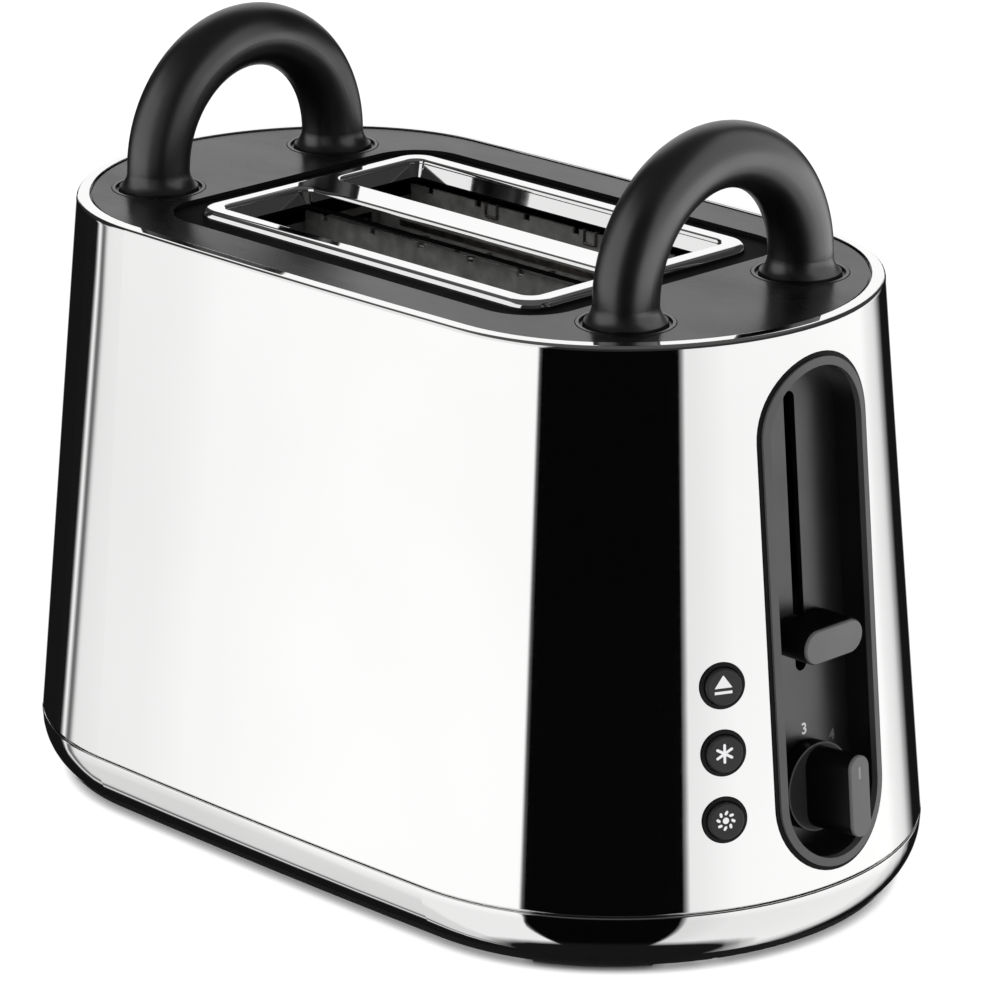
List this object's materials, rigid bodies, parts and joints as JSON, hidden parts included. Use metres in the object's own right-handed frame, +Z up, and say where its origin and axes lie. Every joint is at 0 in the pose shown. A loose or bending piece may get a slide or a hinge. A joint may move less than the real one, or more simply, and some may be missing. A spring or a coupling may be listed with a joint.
{
  "type": "toaster",
  "caption": "Toaster with two wide slots, polished rounded shell, hoop handles across the ends, lift lever and browning knob in a pill-shaped recess, and push buttons beside it.",
  "frame": {"origin": "middle of the footprint, on the floor under the feet", "axes": "+Z up, +X along the long axis towards the controls, +Y away from the side that the picture shows"},
  "size_m": [0.3523, 0.199, 0.2601],
  "materials": {
    "polished_steel": "mirror polished",
    "black_plastic": "satin",
    "base_plastic": "matte",
    "matt_black_plastic": "matte",
    "light_grey_plastic": "satin",
    "surround_plastic": "matte",
    "recess_plastic": "satin",
    "handle_plastic": "satin",
    "deck_plastic": "fine grain",
    "bezel_plastic": "satin",
    "grey_plastic": "satin",
    "button_plastic": "satin",
    "white_plastic": "satin",
    "foot_rubber": "matte",
    "sheet_steel": "rolled",
    "spring_steel": "drawn wire",
    "screw_steel": "zinc plated",
    "copper_wire": "enamelled winding",
    "heating_alloy": "oxidised",
    "mica_sheet": "flaky, slightly shiny",
    "board_laminate": "matte"
  },
  "bodies": {
    "housing": {"outer_shell": "polished_steel", "base_band": "polished_steel", "base_plate": "base_plastic", "rubber_feet": "foot_rubber", "base_screws": "screw_steel", "tie_rods": "screw_steel", "top_deck": "deck_plastic", "slot_surround": "surround_plastic", "slot_frame": "polished_steel", "control_end_handle": "handle_plastic", "far_end_handle": "handle_plastic", "handle_collars": "handle_plastic", "handle_screws": "screw_steel", "control_bezel": "bezel_plastic", "bezel_seal": "matt_black_plastic", "element_clips": "heating_alloy", "control_tub": "recess_plastic", "guide_rods": "screw_steel", "return_spring": "spring_steel", "magnet_bracket": "sheet_steel", "magnet_core": "screw_steel", "magnet_coil": "copper_wire", "dial_body": "black_plastic", "control_board": "board_laminate", "board_parts": "black_plastic", "button_carrier": "black_plastic", "button_board": "board_laminate", "button_switches": "black_plastic", "control_end_plate": "sheet_steel", "far_end_plate": "sheet_steel", "front_element_board": "mica_sheet", "centre_element_board": "mica_sheet", "rear_element_board": "mica_sheet", "front_heating_ribbon": "heating_alloy", "centre_heating_ribbons": "heating_alloy", "rear_heating_ribbon": "heating_alloy", "front_reflector": "sheet_steel", "rear_reflector": "sheet_steel", "cord_gland": "black_plastic", "terminal_block": "white_plastic"},
    "carriage_body": {"carriage": "sheet_steel", "carriage_bushings": "white_plastic", "keeper_plate": "screw_steel", "lever_grip": "matt_black_plastic", "lever_face": "grey_plastic", "front_bread_rack": "sheet_steel", "rear_bread_rack": "sheet_steel"},
    "front_outer_guard_body": {"front_outer_guard": "spring_steel"},
    "front_inner_guard_body": {"front_inner_guard": "spring_steel"},
    "rear_inner_guard_body": {"rear_inner_guard": "spring_steel"},
    "rear_outer_guard_body": {"rear_outer_guard": "spring_steel"},
    "knob": {"browning_knob": "matt_black_plastic", "knob_face": "grey_plastic", "dial_spindle": "light_grey_plastic"},
    "eject_button_body": {"eject_button": "button_plastic"},
    "defrost_button_body": {"defrost_button": "button_plastic"},
    "reheat_button_body": {"reheat_button": "button_plastic"},
    "tray": {"crumb_tray": "sheet_steel", "crumb_tray_front": "polished_steel"}
  },
  "joints": [
    {"name": "lever_slide", "type": "slide", "parent": "housing", "child": "carriage_body", "axis": [0, 0, 1], "range_m": [0, 0.07], "deforming": ["return_spring"]},
    {"name": "front_outer_guard_slide", "type": "slide", "parent": "housing", "child": "front_outer_guard_body", "axis": [0, -1, 0], "range_m": [0, 0.0061]},
    {"name": "front_inner_guard_slide", "type": "slide", "parent": "housing", "child": "front_inner_guard_body", "axis": [0, 1, 0], "range_m": [0, 0.0061]},
    {"name": "rear_inner_guard_slide", "type": "slide", "parent": "housing", "child": "rear_inner_guard_body", "axis": [0, -1, 0], "range_m": [0, 0.0061]},
    {"name": "rear_outer_guard_slide", "type": "slide", "parent": "housing", "child": "rear_outer_guard_body", "axis": [0, 1, 0], "range_m": [0, 0.0061]},
    {"name": "browning_dial", "type": "hinge", "parent": "housing", "child": "knob", "pos_m": [0.153, 0, 0.0518], "axis": [0.9962, 0, 0.0874], "range_deg": [-135, 90]},
    {"name": "eject_button_press", "type": "slide", "parent": "housing", "child": "eject_button_body", "axis": [-0.9043, 0.4178, -0.0874], "range_m": [0, 0.0015], "stiffness_N_per_m": 400, "springref_m": -0.0004},
    {"name": "defrost_button_press", "type": "slide", "parent": "housing", "child": "defrost_button_body", "axis": [-0.9043, 0.4178, -0.0874], "range_m": [0, 0.0015], "stiffness_N_per_m": 400, "springref_m": -0.0004},
    {"name": "reheat_button_press", "type": "slide", "parent": "housing", "child": "reheat_button_body", "axis": [-0.9043, 0.4178, -0.0874], "range_m": [0, 0.0015], "stiffness_N_per_m": 400, "springref_m": -0.0004},
    {"name": "crumb_tray_slide", "type": "slide", "parent": "housing", "child": "tray", "axis": [0, 1, 0], "range_m": [0, 0.15]}
  ],
  "couplings": [
    {"joint": "front_outer_guard_slide", "follows": "lever_slide", "ratio": 0.085714},
    {"joint": "front_inner_guard_slide", "follows": "lever_slide", "ratio": 0.085714},
    {"joint": "rear_inner_guard_slide", "follows": "lever_slide", "ratio": 0.085714},
    {"joint": "rear_outer_guard_slide", "follows": "lever_slide", "ratio": 0.085714}
  ]
}
